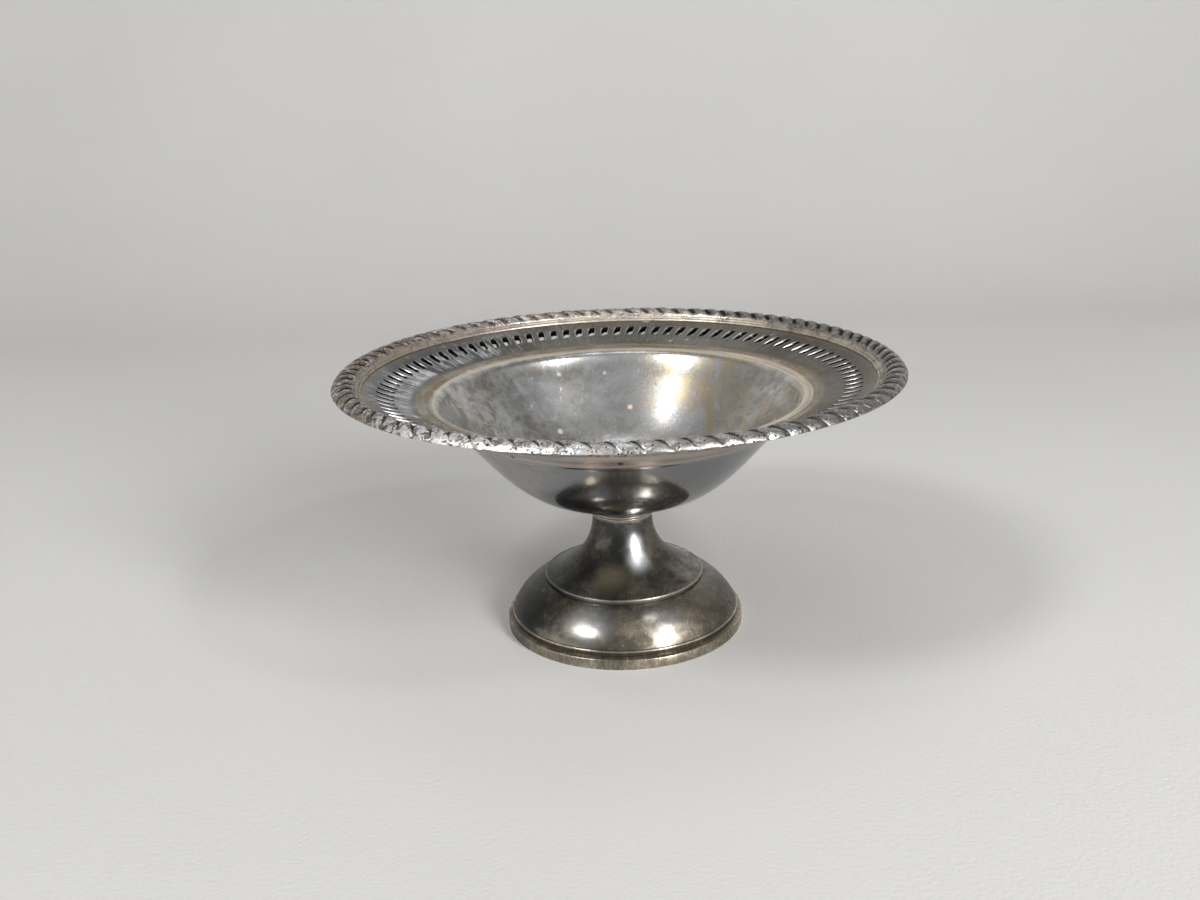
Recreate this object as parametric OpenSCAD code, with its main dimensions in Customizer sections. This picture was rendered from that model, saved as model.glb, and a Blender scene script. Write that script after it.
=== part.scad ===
// Footed compote bowl in silver: a spun bowl with a pierced flange and a lobed border,
// set by a turned collar on a weighted, trumpet-shaped foot.
// The origin is on the axis, at the plane that the foot stands on, and +Z is up.

/* [Foot] */
// Height of the foot from the table to the underside of the collar
foot_h = 31.8; // [27:0.1:38]
// Radius of the foot's neck under the collar
neck_r = 8.3; // [7.3:0.1:9.8]
// Outer radius of the raised ridge where the trumpet meets the dome
ridge_r = 22.3; // [19:0.1:25]
// Height of the ridge's outer edge above the table
ridge_z = 14.5; // [12.5:0.1:17]
// Width of the raised ridge, from the trumpet's end to its outer edge
ridge_w = 0.7; // [0.5:0.1:1.4]
// Drop from the ridge down to the start of the dome
ridge_step = 1; // [0.7:0.1:1.3]
// Distance from the dome's foot out to the base band
base_step = 1.6; // [1.2:0.1:2.4]
// Height above the table at which the dome meets the bead
dome_z = 4.8; // [4.2:0.1:6]
// Outer radius of the base band
base_r = 33.3; // [33:0.1:39]
// Height of the plain vertical base band
band_h = 2.7; // [2.2:0.1:3.2]
// Thickness of the foot's spun sheet
foot_wall = 0.8; // [0.6:0.05:1]

/* [Collar] */
// Height of the turned collar between foot and bowl
collar_h = 4.6; // [3.8:0.1:5.6]
// Outer radius of the collar's rings
collar_r = 8.8; // [8.6:0.1:10.4]
// Radius of the bore through the collar
collar_bore_r = 6.9; // [6:0.1:7.3]

/* [Bowl] */
// Radius of the flat underside that is soldered to the collar
seat_r = 9; // [8.9:0.1:11]
// Outer radius of the well at its top, on the underside
well_r = 51; // [47:0.1:53]
// Height of the well's top above the flat underside
well_h = 29.3; // [24:0.1:35]
// Width of the rolled shoulder between the well and the flange
shoulder_w = 3; // [2.4:0.1:4]
// Rise of the underside across the rolled shoulder
shoulder_rise = 0.65; // [0.5:0.05:0.8]
// Angle at which the flange rises outwards
flange_angle = 18; // [14:0.5:22]
// Thickness of the bowl's spun sheet
bowl_wall = 0.8; // [0.6:0.05:1]

/* [Pierced slots] */
// Number of slots round the flange
slot_count = 96; // [60:1:110]
// Where the slots' middles lie, as a share of the way from the flange's start to the border
slot_place_share = 0.587; // [0.4:0.01:0.65]
// Length of a slot, as a share of the flange's width between its start and the border
slot_length_share = 0.336; // [0.2:0.01:0.45]
// Width of a slot at its middle
slot_w = 1.15; // [0.9:0.05:1.4]
// Sideways shift from a slot's middle to each of its ends
slot_sweep = 0.9; // [0.6:0.05:1.2]

/* [Border] */
// Outer radius of the border, which is the radius of the whole piece
rim_r = 76.2; // [74.4:0.1:92]
// Width of the border from its inner edge to its outer edge
border_w = 7.9; // [7:0.1:9]
// Radius of the lobes' rounded cross-section
lobe_r = 3.4; // [2.9:0.1:3.9]
// Height of the lobes' crest above the flange under it
crest_h = 2.05; // [1.7:0.05:2.4]
// Height of the plain bead along the border's inner edge
bead_h = 0.75; // [0.6:0.05:0.9]
// Width of the plain bead along the border's inner edge
bead_w = 1.3; // [1:0.1:1.6]
// Thickness of the lip that closes over the flange's edge
lip_w = 1.2; // [1:0.1:1.5]
// Number of slanted lobes
lobe_count = 86; // [60:1:100]
// Angle of the lobes from the radius
lobe_slant = 38; // [30:1:44]
// Depth of the grooves that part the lobes
groove_depth = 0.7; // [0.5:0.05:0.9]

/* [Inside] */
// Radius of the threaded boss under the bowl
boss_r = 6.8; // [5:0.1:7.2]
// Radius of the steel rod that stiffens the stem
rod_r = 2; // [1.5:0.1:2.5]
// Height of the rod's lower end above the table
rod_low_z = 4; // [3:0.1:6]
// Thickness of the disc that closes the base
plate_t = 0.8; // [0.6:0.05:1]
// Depth of the closing disc inside the base band
plate_recess = 0.5; // [0.3:0.05:0.8]

/* [Hidden] */

// Facets of a full turn
$fn = 180;
// Steps along a long curve and along a small moulding
long_steps = 14;
short_steps = 6;
// Gap left round pieces that are glued or soldered together
fit_gap = 0.1;
// Radial clearance of the rod in its holes
rod_gap = 0.05;
// Extra length by which every cutting shape passes the faces it cuts
overrun = 1;
// Chamfer on the rod's ends
rod_chamfer = 0.4;

// Where the bowl's flat underside lies
bowl_z = foot_h + collar_h;
// Where the flange starts, on the underside of the sheet
flange_r = well_r + shoulder_w;
flange_z = bowl_z + well_h + shoulder_rise;
// Radius at which the flange ends, inside the border's lip
flange_edge_r = rim_r - lip_w - fit_gap;
// Radius of the border's inner edge
border_in_r = rim_r - border_w;
// Place and length of the slots on the open part of the flange
slot_r = mix(flange_r, border_in_r, slot_place_share);
slot_l = slot_length_share * (border_in_r - flange_r);
// Radius of the dome where it meets the bead above the base band
dome_r = base_r - base_step;
// Thickness of the flange measured straight up
flange_t = bowl_wall / cos(flange_angle);

// Curve of the well from its flat underside up to a point near its top, then over to the top,
// as shares of the well's own width and height
well_low_share = [[0, 0], [0.405, 0], [0.571, 0.379], [0.833, 0.792]];
well_high_share = [[0.833, 0.792], [0.893, 0.89], [0.955, 0.985], [1, 1]];

// Curve of the trumpet, as shares of its spread and height, from the ridge up to the neck
trumpet_share = [[0, 1], [0.008, 0.57], [0.27, 0.235], [1, 0.022]];
// Curve of the dome, as shares of its spread and height, from the dome's foot up to the ridge
dome_share = [[0, 1], [0.33, 0.9], [0.82, 0.48], [1, 0]];

// Outline of the collar from its lower face up: shares of the collar's radius and of its height
collar_share = [[0.955, 0], [0.975, 0.05], [0.975, 0.12], [0.96, 0.15], [0.985, 0.18], [0.995, 0.24],
                [0.985, 0.3], [0.94, 0.34], [0.925, 0.38], [0.94, 0.42], [0.965, 0.47], [0.99, 0.54],
                [1, 0.61], [0.995, 0.68], [0.975, 0.74], [0.95, 0.78], [0.95, 1]];

function mix(a, b, t) = a + (b - a) * t;

function cubic(p, t) =
    pow(1 - t, 3) * p[0] + 3 * pow(1 - t, 2) * t * p[1] + 3 * (1 - t) * t * t * p[2] + pow(t, 3) * p[3];

function cubic_slope(p, t) =
    pow(1 - t, 2) * (p[1] - p[0]) + 2 * (1 - t) * t * (p[2] - p[1]) + t * t * (p[3] - p[2]);

// Unit vector to the left of the direction of travel
function left_of(d) = [-d[1], d[0]] / norm(d);

function curve(p, n, shift = 0) =
    [for (i = [0 : n]) cubic(p, i / n) + shift * left_of(cubic_slope(p, i / n))];

function arc(c, r, from, to, n) =
    [for (i = [0 : n]) c + r * [cos(mix(from, to, i / n)), sin(mix(from, to, i / n))]];

function reversed(p) = [for (i = [len(p) - 1 : -1 : 0]) p[i]];

// Control points placed by shares between two corners
function placed(share, low, high) =
    [for (s = share) [mix(low[0], high[0], s[0]), mix(low[1], high[1], s[1])]];

// Height of the flange's underside and of its upper face at a radius
function flange_low(r) = flange_z + (r - flange_r) * tan(flange_angle);
function flange_top(r) = flange_low(r) + flange_t;

// Underside of the well, as two curves from the axis outwards
well_low = placed(well_low_share, [seat_r, bowl_z], [well_r, bowl_z + well_h]);
well_high = placed(well_high_share, [seat_r, bowl_z], [well_r, bowl_z + well_h]);

// Underside of the rolled shoulder, which leaves the well smoothly and ends level
shoulder_share = [[0, 0], [0.3, 0.6], [0.6, 1], [1, 1]];
shoulder = placed(shoulder_share, [well_r, bowl_z + well_h], [flange_r, flange_z]);

function bowl_path(shift) = concat(
    [[0, bowl_z + shift]],
    curve(well_low, long_steps, shift),
    curve(well_high, short_steps, shift),
    curve(shoulder, short_steps, shift)
);

// Outer surface of the foot in two curves, from the neck down
trumpet = placed(trumpet_share, [neck_r, ridge_z], [ridge_r - ridge_w, foot_h]);
dome = placed(dome_share, [ridge_r, dome_z], [dome_r, ridge_z - ridge_step]);

// Small radius of the ridge's rounded crest, and of the bead under the dome
ridge_bead = ridge_w / 2;
base_bead = base_step / 4;

// One slot's outline: a long S whose outer end swings clockwise, with narrowed ends
slot_turns = [-1, -0.5, 0, 0.5, 1];
slot_end_share = 0.45;
slot_lean_share = 0.45;
function slot_middle(u) = -slot_sweep * (slot_lean_share * u + (1 - slot_lean_share) * pow(u, 3));
function slot_half(u) = slot_w / 2 * mix(1, slot_end_share, pow(u, 4));
function slot_side(side) = [for (u = slot_turns) [u * slot_l / 2, slot_middle(u) + side * slot_half(u)]];

module bowl() {
    slot_low_z = flange_low(slot_r - slot_l) - overrun;
    slot_high_z = flange_top(slot_r + slot_l) + overrun;
    color("#9a9b98")
    difference() {
        rotate_extrude()
            polygon(concat(
                bowl_path(0),
                [[flange_edge_r, flange_low(flange_edge_r)], [flange_edge_r, flange_top(flange_edge_r)]],
                reversed(bowl_path(bowl_wall))
            ));
        for (i = [0 : slot_count - 1])
            rotate([0, 0, i * 360 / slot_count])
                translate([slot_r, 0, slot_low_z])
                    linear_extrude(slot_high_z - slot_low_z)
                        polygon(concat(slot_side(-1), reversed(slot_side(1))));
    }
}

// Centre of the lobes' rounded cross-section
lobe_centre_r = rim_r - lobe_r;
lobe_top_z = flange_top(lobe_centre_r) + crest_h;
lobe_centre_z = lobe_top_z - lobe_r;
// Where the lip's lower edge lies, level with the flange's underside at its edge
lip_z = flange_low(flange_edge_r);
// Angle at which the lobes' round meets the lip's lower edge
lip_angle = asin(max(-1, (lip_z - lobe_centre_z) / lobe_r));
// Angle at which the lobes' round rises from behind the bead
bead_top_z = flange_top(border_in_r + bead_w) + bead_h / 2;
lobe_start_angle = 180 - asin((bead_top_z - lobe_centre_z) / lobe_r);
// Steps round each lobe, and how far below the crest the border's surface lies at each of them
lobe_steps = 4;
lobe_round_share = [1, 0.25, 0, 0.25];
// How deep the grooves are along the lobes' round, which is plain where it rises from the bead
lobe_run_share = [0, 0.15, 0.8, 1, 1, 1, 0.9, 0.5];
// The bead's outline, as shares of its width and of its height over the flange
bead_share = [[0, 0], [0.1, 0.8], [0.5, 1], [0.9, 0.6]];

// Border's cross-section: each entry has its radius, its height, its groove depth and its turn
seat_out_r = flange_edge_r + fit_gap;
seat_z = fit_gap / 2;
function lobe_turn(a) = (90 - a) * lobe_r * tan(lobe_slant) / lobe_centre_r;
bead_turn = lobe_turn(lobe_start_angle);
lip_turn = lobe_turn(lip_angle);
function border_section() = concat(
    [for (s = bead_share)
        let (r = border_in_r + s[0] * bead_w)
        [r, flange_top(r) + seat_z + s[1] * bead_h, 0, bead_turn]],
    [for (i = [0 : len(lobe_run_share) - 1])
        let (a = mix(lobe_start_angle, lip_angle, i / (len(lobe_run_share) - 1)))
        [lobe_centre_r + lobe_r * cos(a), lobe_centre_z + lobe_r * sin(a), lobe_run_share[i], lobe_turn(a)]],
    [[seat_out_r, lip_z, 0, lip_turn],
     [seat_out_r, flange_top(seat_out_r) + seat_z, 0, lip_turn]]
);

// Point of the border on one entry of its section, drawn in towards the round's centre by the groove
function border_point(s, i) =
    let (
        depth = groove_depth * s[2] * lobe_round_share[i % lobe_steps],
        inwards = [lobe_centre_r - s[0], lobe_centre_z - s[1]] / lobe_r,
        r = s[0] + depth * inwards[0],
        a = 360 * i / (lobe_count * lobe_steps) + s[3]
    )
    [r * cos(a), r * sin(a), s[1] + depth * inwards[1]];

module gadroon_border() {
    section = border_section();
    m = len(section);
    n = lobe_count * lobe_steps;
    points = [for (i = [0 : n - 1]) for (s = section) border_point(s, i)];
    faces = [for (i = [0 : n - 1]) for (j = [0 : m - 1])
        let (here = i * m, next = (i + 1) % n * m, k = (j + 1) % m)
        each [[here + j, next + j, next + k], [here + j, next + k, here + k]]];
    color("#b3aaa0")
    polyhedron(points, faces);
}

module neck_collar() {
    color("#8d8578")
    rotate_extrude()
        polygon(concat(
            [for (s = collar_share) [s[0] * collar_r, foot_h + s[1] * collar_h]],
            [[collar_bore_r, bowl_z], [collar_bore_r, foot_h]]
        ));
}

// The boss hangs from the bowl inside the collar and reaches just into the foot's neck
boss_low_z = foot_h - fit_gap;
boss_outer_r = min(boss_r, collar_bore_r - fit_gap, neck_r - foot_wall - fit_gap);

module bowl_boss() {
    color("#a79b7c")
    rotate_extrude()
        polygon([
            [rod_r + rod_gap, boss_low_z], [boss_outer_r, boss_low_z], [boss_outer_r, bowl_z],
            [rod_r + rod_gap, bowl_z]
        ]);
}

module stem_rod() {
    rod_top_z = bowl_z - fit_gap;
    color("#6f7276")
    rotate_extrude()
        polygon([
            [0, rod_low_z], [rod_r - rod_chamfer, rod_low_z], [rod_r, rod_low_z + rod_chamfer],
            [rod_r, rod_top_z - rod_chamfer], [rod_r - rod_chamfer, rod_top_z], [0, rod_top_z]
        ]);
}

// Outline of the mouldings from the dome's foot down to the table
// The bead under the dome is an arc between these two angles
bead_angles = [80, -70];
cove_z = dome_z - 2.5 * base_bead;
function base_outline() = concat(
    arc([dome_r, dome_z - base_bead], base_bead, bead_angles[0], bead_angles[1], short_steps),
    [[dome_r + base_bead / 2, cove_z - base_bead], [base_r - base_bead, band_h + base_bead / 2],
     [base_r - base_bead / 2, band_h + base_bead / 3], [base_r, band_h], [base_r, 0]]
);

// Inside of the foot's sheet, drawn at a distance from its outside
function foot_cavity(shift) = concat(
    curve(trumpet, long_steps, -shift),
    curve(dome, long_steps, -shift),
    [[base_r - shift - base_bead, band_h - foot_wall], [base_r - shift, band_h - foot_wall - base_bead]]
);

// The ridge's crest is an arc between these two angles
ridge_angles = [120, -20];

module foot_shell() {
    ridge_c = [ridge_r - ridge_bead, ridge_z];
    color("#7d766c")
    rotate_extrude()
        polygon(concat(
            curve(trumpet, long_steps),
            arc(ridge_c, ridge_bead, ridge_angles[0], ridge_angles[1], short_steps),
            curve(dome, long_steps),
            base_outline(),
            [[base_r - foot_wall, 0]],
            reversed(foot_cavity(foot_wall))
        ));
}

plate_top_z = plate_recess + plate_t;

module weight_fill() {
    color("#8a8378")
    difference() {
        rotate_extrude()
            polygon(concat(
                [[0, boss_low_z - fit_gap]],
                [for (p = foot_cavity(foot_wall + fit_gap)) if (p[1] < boss_low_z - fit_gap) p],
                [[base_r - foot_wall - fit_gap, plate_top_z + fit_gap], [0, plate_top_z + fit_gap]]
            ));
        translate([0, 0, rod_low_z - fit_gap])
            cylinder(h = foot_h, r = rod_r + rod_gap);
    }
}

module base_plate() {
    color("#9b948a")
    translate([0, 0, plate_recess])
        cylinder(h = plate_t, r = base_r - foot_wall - rod_gap);
}

bowl();
gadroon_border();
neck_collar();
bowl_boss();
stem_rod();
foot_shell();
weight_fill();
base_plate();
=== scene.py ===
# Footed silver compote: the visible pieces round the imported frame, with their finishes and a plain studio
import math
import random

import bmesh
import bpy
from bpy.props import FloatProperty, FloatVectorProperty, IntProperty, PointerProperty
from bpy.types import Operator, Panel, PropertyGroup
from mathutils import Matrix, Vector


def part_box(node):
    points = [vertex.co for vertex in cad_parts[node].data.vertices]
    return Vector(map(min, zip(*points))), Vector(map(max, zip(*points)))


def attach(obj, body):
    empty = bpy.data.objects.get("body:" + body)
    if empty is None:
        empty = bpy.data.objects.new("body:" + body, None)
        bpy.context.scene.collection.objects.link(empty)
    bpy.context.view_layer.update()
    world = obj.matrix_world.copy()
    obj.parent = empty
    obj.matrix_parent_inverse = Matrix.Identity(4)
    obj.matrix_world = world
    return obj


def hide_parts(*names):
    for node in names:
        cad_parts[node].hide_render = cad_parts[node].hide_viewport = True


bl_info = {
    "name": "Footed silver compote",
    "version": (1, 0, 0),
    "blender": (4, 5, 0),
    "location": "3D View > Sidebar > Compote",
    "description": "Builds the bowl, border, collar and foot of a silver compote round its packed frame",
    "category": "Object",
}

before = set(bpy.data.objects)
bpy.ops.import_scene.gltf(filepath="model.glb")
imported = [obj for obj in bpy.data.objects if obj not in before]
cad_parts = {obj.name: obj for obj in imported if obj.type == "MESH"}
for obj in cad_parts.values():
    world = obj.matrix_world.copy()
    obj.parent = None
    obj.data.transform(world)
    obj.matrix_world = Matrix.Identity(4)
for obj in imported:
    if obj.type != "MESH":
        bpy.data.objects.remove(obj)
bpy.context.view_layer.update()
MM = 0.001
BODY = "root"


def packed_size(node, axis, high=True):
    """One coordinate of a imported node's box, in metres"""
    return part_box(node)[1 if high else 0][axis]


def length(name, description, value):
    """A length property, in metres"""
    return FloatProperty(name=name, description=description, default=value, min=0.0, precision=5,
                         subtype="DISTANCE", unit="LENGTH")


def tint(name, description, value):
    """A colour property"""
    return FloatVectorProperty(name=name, description=description, default=value, min=0.0, max=1.0,
                               size=3, subtype="COLOR")


def angle(name, description, degrees, least=-90.0, most=90.0):
    """An angle property, given in degrees"""
    return FloatProperty(name=name, description=description, default=math.radians(degrees),
                         min=math.radians(least), max=math.radians(most), subtype="ANGLE", unit="ROTATION")


def watts(name, description, value):
    """A property for a lamp's power"""
    return FloatProperty(name=name, description=description, default=value, min=0.0,
                         subtype="POWER", unit="POWER")


class CompoteSizes(PropertyGroup):
    """Sizes of the visible pieces"""
    foot_height: length("Foot height", "From the table to the collar", packed_size("neck_collar", 2, False))
    bowl_seat: length("Bowl seat", "Height of the bowl's flat underside", packed_size("neck_collar", 2))
    base_radius: length("Base radius", "Outer radius of the base band", packed_size("foot_shell", 0))
    collar_radius: length("Collar radius", "Outer radius of the collar", packed_size("neck_collar", 0))
    rim_radius: length("Rim radius", "Outer radius of the border", 76.2 * MM)
    neck_radius: length("Neck radius", "Radius of the foot's neck", 8.3 * MM)
    ridge_radius: length("Ridge radius", "Outer radius of the ridge on the foot", 22.3 * MM)
    ridge_height: length("Ridge height", "Height of the ridge's outer edge", 14.5 * MM)
    dome_radius: length("Dome radius", "Radius of the dome where it meets the bead", 31.7 * MM)
    dome_height: length("Dome height", "Height at which the dome meets the bead", 4.8 * MM)
    band_height: length("Band height", "Height of the plain base band", 2.7 * MM)
    well_radius: length("Well radius", "Radius of the well's top, outside", 51.0 * MM)
    well_height: length("Well height", "Height of the well above its underside", 29.3 * MM)
    sheet: length("Sheet", "Thickness of the spun sheet", 0.8 * MM)
    flange_angle: angle("Flange angle", "Angle at which the flange rises outwards", 18, 0.0, 57.0)
    slot_count: IntProperty(name="Slots", description="Number of slots round the flange", default=96, min=12)
    slot_radius: length("Slot radius", "Radius of the circle of slots", 62.4 * MM)
    slot_length: length("Slot length", "Length of a slot along the radius", 4.8 * MM)
    slot_width: length("Slot width", "Width of a slot at its middle", 1.85 * MM)
    lobe_count: IntProperty(name="Lobes", description="Number of slanted lobes in the border",
                            default=86, min=12)
    lobe_radius: length("Lobe radius", "Radius of the lobes' rounded section", 3.4 * MM)
    lobe_depth: length("Lobe depth", "Depth of the grooves between the lobes", 0.85 * MM)
    lobe_slant: angle("Lobe slant", "Angle of the lobes from the radius", 38, 0.0, 68.0)


class CompoteColours(PropertyGroup):
    """Colours of the old silver and of the studio"""
    silver: tint("Silver", "Polished parts of the well", (0.74, 0.76, 0.785))
    haze: tint("Haze", "Hazy film on the silver", (0.335, 0.33, 0.31))
    straw: tint("Straw", "Light yellow tarnish", (0.56, 0.47, 0.32))
    lip: tint("Lip", "Pale edge of the shoulder and wall of the border", (0.86, 0.76, 0.62))
    brown: tint("Brown", "Heavy brown tarnish", (0.22, 0.175, 0.115))
    dark: tint("Dark", "Grey of the flange and the foot", (0.115, 0.113, 0.106))
    shade: tint("Shade", "Blue grey of the underside", (0.25, 0.255, 0.265))
    olive: tint("Olive", "Brown grey of the flange at the back and right", (0.150, 0.137, 0.105))
    night: tint("Night", "Blue black of the flange at the left", (0.070, 0.075, 0.088))
    soot: tint("Soot", "Nearly black tarnish of the foot", (0.055, 0.056, 0.055))
    warm: tint("Warm", "Warm grey of the foot", (0.50, 0.47, 0.415))
    crust: tint("Crust", "Dark brown crust on the border", (0.085, 0.062, 0.046))
    rose: tint("Rose", "Worn spots where the plating is thin", (0.56, 0.45, 0.39))
    # Bright: pale colour of the scoured outer face, partly a painted highlight
    bright: tint("Bright", "Scoured outer face of the border at the front left", (0.93, 0.89, 0.87))
    bare: tint("Bare", "Pale copper of the round spots", (0.88, 0.68, 0.56))
    # Grime: dark dirt in hollows, also used as painted shade in grooves, coves, inside bends and slot
    # openings
    grime: tint("Grime", "Dirt in the grooves", (0.035, 0.03, 0.026))
    floor: tint("Floor", "Floor and backdrop", (0.56, 0.555, 0.545))


class StudioSettings(PropertyGroup):
    """Camera and lamps"""
    focal: FloatProperty(name="Focal length", description="Lens of the camera in millimetres",
                         default=36.0, min=10.0, subtype="DISTANCE_CAMERA", unit="CAMERA")
    distance: length("Camera distance", "Level distance of the camera from the axis", 0.31487)
    height: length("Camera height", "Height of the camera above the table", 0.15080)
    pitch: angle("Pitch", "Angle the camera looks down", 17.74)
    roll: angle("Roll", "Turn of the camera about its line of sight", -2.0)
    yaw: angle("Yaw", "Turn of the camera to the side", -1.02)
    sky: FloatProperty(name="Room light", description="Strength of the light of the room",
                       default=0.28, min=0.0)
    left: watts("Left lamp", "Power of the lamp at the front left", 5.0)
    right: watts("Right lamp", "Power of the lamp at the front right", 5.6)
    side: watts("Side lamp", "Power of the small lamp at the left", 0.85)
    low: watts("Low lamp", "Power of the low lamp at the left", 1.9)
    roof: watts("Roof lamp", "Power of the dim lamp overhead", 1.2)
    tall: watts("Tall lamp", "Power of the tall narrow lamp at the right", 9.5)
    top: watts("Top lamp", "Power of the small lamp at the upper right", 1.5)


# Curves and outlines, in millimetres

def mix(a, b, t):
    return a + (b - a) * t


def clamp(value):
    return min(1.0, max(0.0, value))


def cubic(p, t):
    weights = ((1 - t) ** 3, 3 * (1 - t) ** 2 * t, 3 * (1 - t) * t * t, t ** 3)
    return tuple(sum(w * q[k] for w, q in zip(weights, p)) for k in (0, 1))


def cubic_slope(p, t):
    weights = ((1 - t) ** 2, 2 * (1 - t) * t, t * t)
    return tuple(sum(w * (p[i + 1][k] - p[i][k]) for i, w in enumerate(weights)) for k in (0, 1))


def placed(shares, low, high):
    """Control points placed by shares between two corners"""
    return [(mix(low[0], high[0], s), mix(low[1], high[1], t)) for s, t in shares]


def curve(p, steps, shift=0.0):
    """Points along a curve, moved to its left by shift"""
    points = []
    for i in range(steps + 1):
        x, y = cubic(p, i / steps)
        dx, dy = cubic_slope(p, i / steps)
        size = math.hypot(dx, dy)
        points.append((x - shift * dy / size, y + shift * dx / size))
    return points


def arc(centre, radius, start, end, steps):
    turns = [math.radians(mix(start, end, i / steps)) for i in range(steps + 1)]
    return [(centre[0] + radius * math.cos(a), centre[1] + radius * math.sin(a)) for a in turns]


def smooth_through(points, steps):
    """A finer line that passes through every given point"""
    line = []
    last = len(points) - 1
    for i in range(last):
        p = [points[max(i - 1, 0)], points[i], points[i + 1], points[min(i + 2, last)]]
        for s in range(steps):
            t = s / steps
            line.append(tuple(0.5 * (2 * p[1][k] + (p[2][k] - p[0][k]) * t
                                     + (2 * p[0][k] - 5 * p[1][k] + 4 * p[2][k] - p[3][k]) * t * t
                                     + (3 * p[1][k] - p[0][k] - 3 * p[2][k] + p[3][k]) * t ** 3)
                              for k in (0, 1)))
    return line + [points[-1]]


# Points closer than this become one, and a ring this near the axis is one point, both in millimetres
MERGE = 0.002
ON_AXIS = 1e-6
# Bend of an outline, in radians per millimetre, at which wear, or grime with painted shade, starts, how much
# more makes it full, and the shortest side, in millimetres, that a bend is spread over
BEND_START = 0.25
BEND_SPAN = 1.1
SHORTEST_SIDE = 0.25


class Shell:
    """A mesh made of rings round the axis, with wear, and grime with painted shade, kept on its points"""

    def __init__(self):
        self.mesh = bmesh.new()
        self.layers = {name: self.mesh.verts.layers.float.new(name) for name in ("wear", "grime", "under")}

    def point(self, r, turn, z, **marks):
        v = self.mesh.verts.new((r * math.cos(turn) * MM, r * math.sin(turn) * MM, z * MM))
        for name, value in marks.items():
            v[self.layers[name]] = value
        return v

    def ring(self, r, z, count, **marks):
        if r < ON_AXIS:
            return [self.point(0.0, 0.0, z, **marks)]
        return [self.point(r, math.tau * i / count, z, **marks) for i in range(count)]

    def bridge(self, a, b):
        count = max(len(a), len(b))
        for i in range(count):
            j = (i + 1) % count
            corners = [a[i % len(a)], a[j % len(a)], b[j % len(b)], b[i % len(b)]]
            self.mesh.faces.new(list(dict.fromkeys(corners)))

    def piece(self, name, slot, material, nodes, sharp=32.0):
        """Close the mesh, make the object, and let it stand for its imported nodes"""
        bmesh.ops.remove_doubles(self.mesh, verts=self.mesh.verts, dist=MERGE * MM)
        bmesh.ops.recalc_face_normals(self.mesh, faces=self.mesh.faces)
        for face in self.mesh.faces:
            face.smooth = True
        for edge in self.mesh.edges:
            edge.smooth = edge.calc_face_angle(0.0) < math.radians(sharp)
        mesh = bpy.data.meshes.new(name)
        self.mesh.to_mesh(mesh)
        self.mesh.free()
        mesh.materials.append(material)
        obj = bpy.data.objects.new(name, mesh)
        bpy.context.scene.collection.objects.link(obj)
        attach(obj, BODY)
        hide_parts(*nodes)
        return obj


def outline_marks(outline):
    """Wear on sharp outside bends, and grime with painted shade in sharp inside bends, of a closed outline"""
    count = len(outline)
    area = sum(outline[i - 1][0] * outline[i][1] - outline[i][0] * outline[i - 1][1] for i in range(count))
    side = 1.0 if area > 0 else -1.0
    marks = []
    for i in range(count):
        (ax, ay), (bx, by), (cx, cy) = outline[i - 1], outline[i], outline[(i + 1) % count]
        before, after = math.hypot(bx - ax, by - ay), math.hypot(cx - bx, cy - by)
        turn = math.atan2((bx - ax) * (cy - by) - (by - ay) * (cx - bx),
                          (bx - ax) * (cx - bx) + (by - ay) * (cy - by))
        bend = side * turn / max(SHORTEST_SIDE, (before + after) / 2)
        marks.append((clamp((bend - BEND_START) / BEND_SPAN), clamp((-bend - BEND_START) / BEND_SPAN)))
    return marks


def turned(outline, columns):
    """A shell turned from a closed outline of radius and height"""
    shell = Shell()
    marks = outline_marks(outline)
    rings = [shell.ring(r, z, columns, wear=wear, grime=grime)
             for (r, z), (wear, grime) in zip(outline, marks)]
    for a, b in zip(rings, rings[1:] + rings[:1]):
        shell.bridge(a, b)
    return shell


# Materials

# Roughness of the wide, hazy reflection
HAZE_ROUGHNESS = 0.52


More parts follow.
